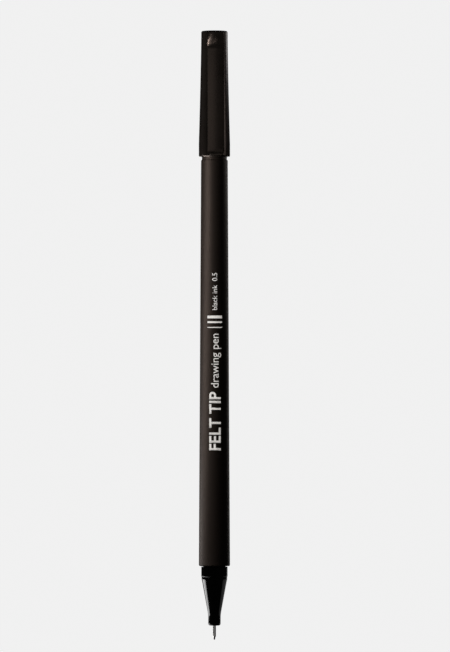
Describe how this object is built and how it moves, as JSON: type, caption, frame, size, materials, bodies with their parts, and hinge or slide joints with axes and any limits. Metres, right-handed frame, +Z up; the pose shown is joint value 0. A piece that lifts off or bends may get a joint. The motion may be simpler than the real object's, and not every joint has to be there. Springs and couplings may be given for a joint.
{
  "type": "fine-line felt tip pen",
  "caption": "Slim fibre-tip drawing pen with a matt tapered barrel, glossy nose cone, steel-sleeved nib and a clipped cap posted on its rear.",
  "frame": {"origin": "under the middle of the pen's length, on the surface it lies on", "axes": "+Y along the pen from its writing tip to the top of the posted cap, +Z up through the clip side, +X to the right"},
  "size_m": [0.009, 0.1756, 0.011],
  "materials": {
    "barrel_soft_touch": "soft-touch matt charcoal coating",
    "end_plug_plastic": "satin moulded",
    "section_gloss": "polished black",
    "nib_holder_plastic": "natural moulded",
    "sleeve_steel": "drawn and polished",
    "nib_fibre": "extruded fibre soaked with black ink",
    "wick_felt": "bonded fibre soaked with ink",
    "reservoir_fibre": "bonded polyester fibre soaked with ink",
    "reservoir_film": "thin clear film",
    "cap_plastic": "semi-gloss moulded black",
    "inner_cap_plastic": "soft moulded seal",
    "crown_plastic": "semi-gloss moulded black",
    "clip_plastic": "semi-gloss moulded black"
  },
  "bodies": {
    "pen": {"barrel": "barrel_soft_touch", "barrel_end_plug": "end_plug_plastic", "front_section": "section_gloss", "nib_holder": "nib_holder_plastic", "nib_sleeve": "sleeve_steel", "fibre_nib": "nib_fibre", "feed_wick": "wick_felt", "ink_reservoir": "reservoir_fibre", "reservoir_wrap": "reservoir_film"},
    "cap": {"cap_shell": "cap_plastic", "inner_cap": "inner_cap_plastic", "cap_crown": "crown_plastic"},
    "clip": {"cap_clip": "clip_plastic"}
  },
  "joints": [
    {"name": "cap_pull", "type": "slide", "parent": "pen", "child": "cap", "axis": [0, 1, 0], "range_m": [0, 0.025]},
    {"name": "clip_flex", "type": "hinge", "parent": "cap", "child": "clip", "pos_m": [0.0003, 0.08525, 0.00881], "axis": [-0.9976, 0, 0.0698], "range_deg": [0, 3.5], "stiffness_Nm_per_rad": 1.5}
  ]
}
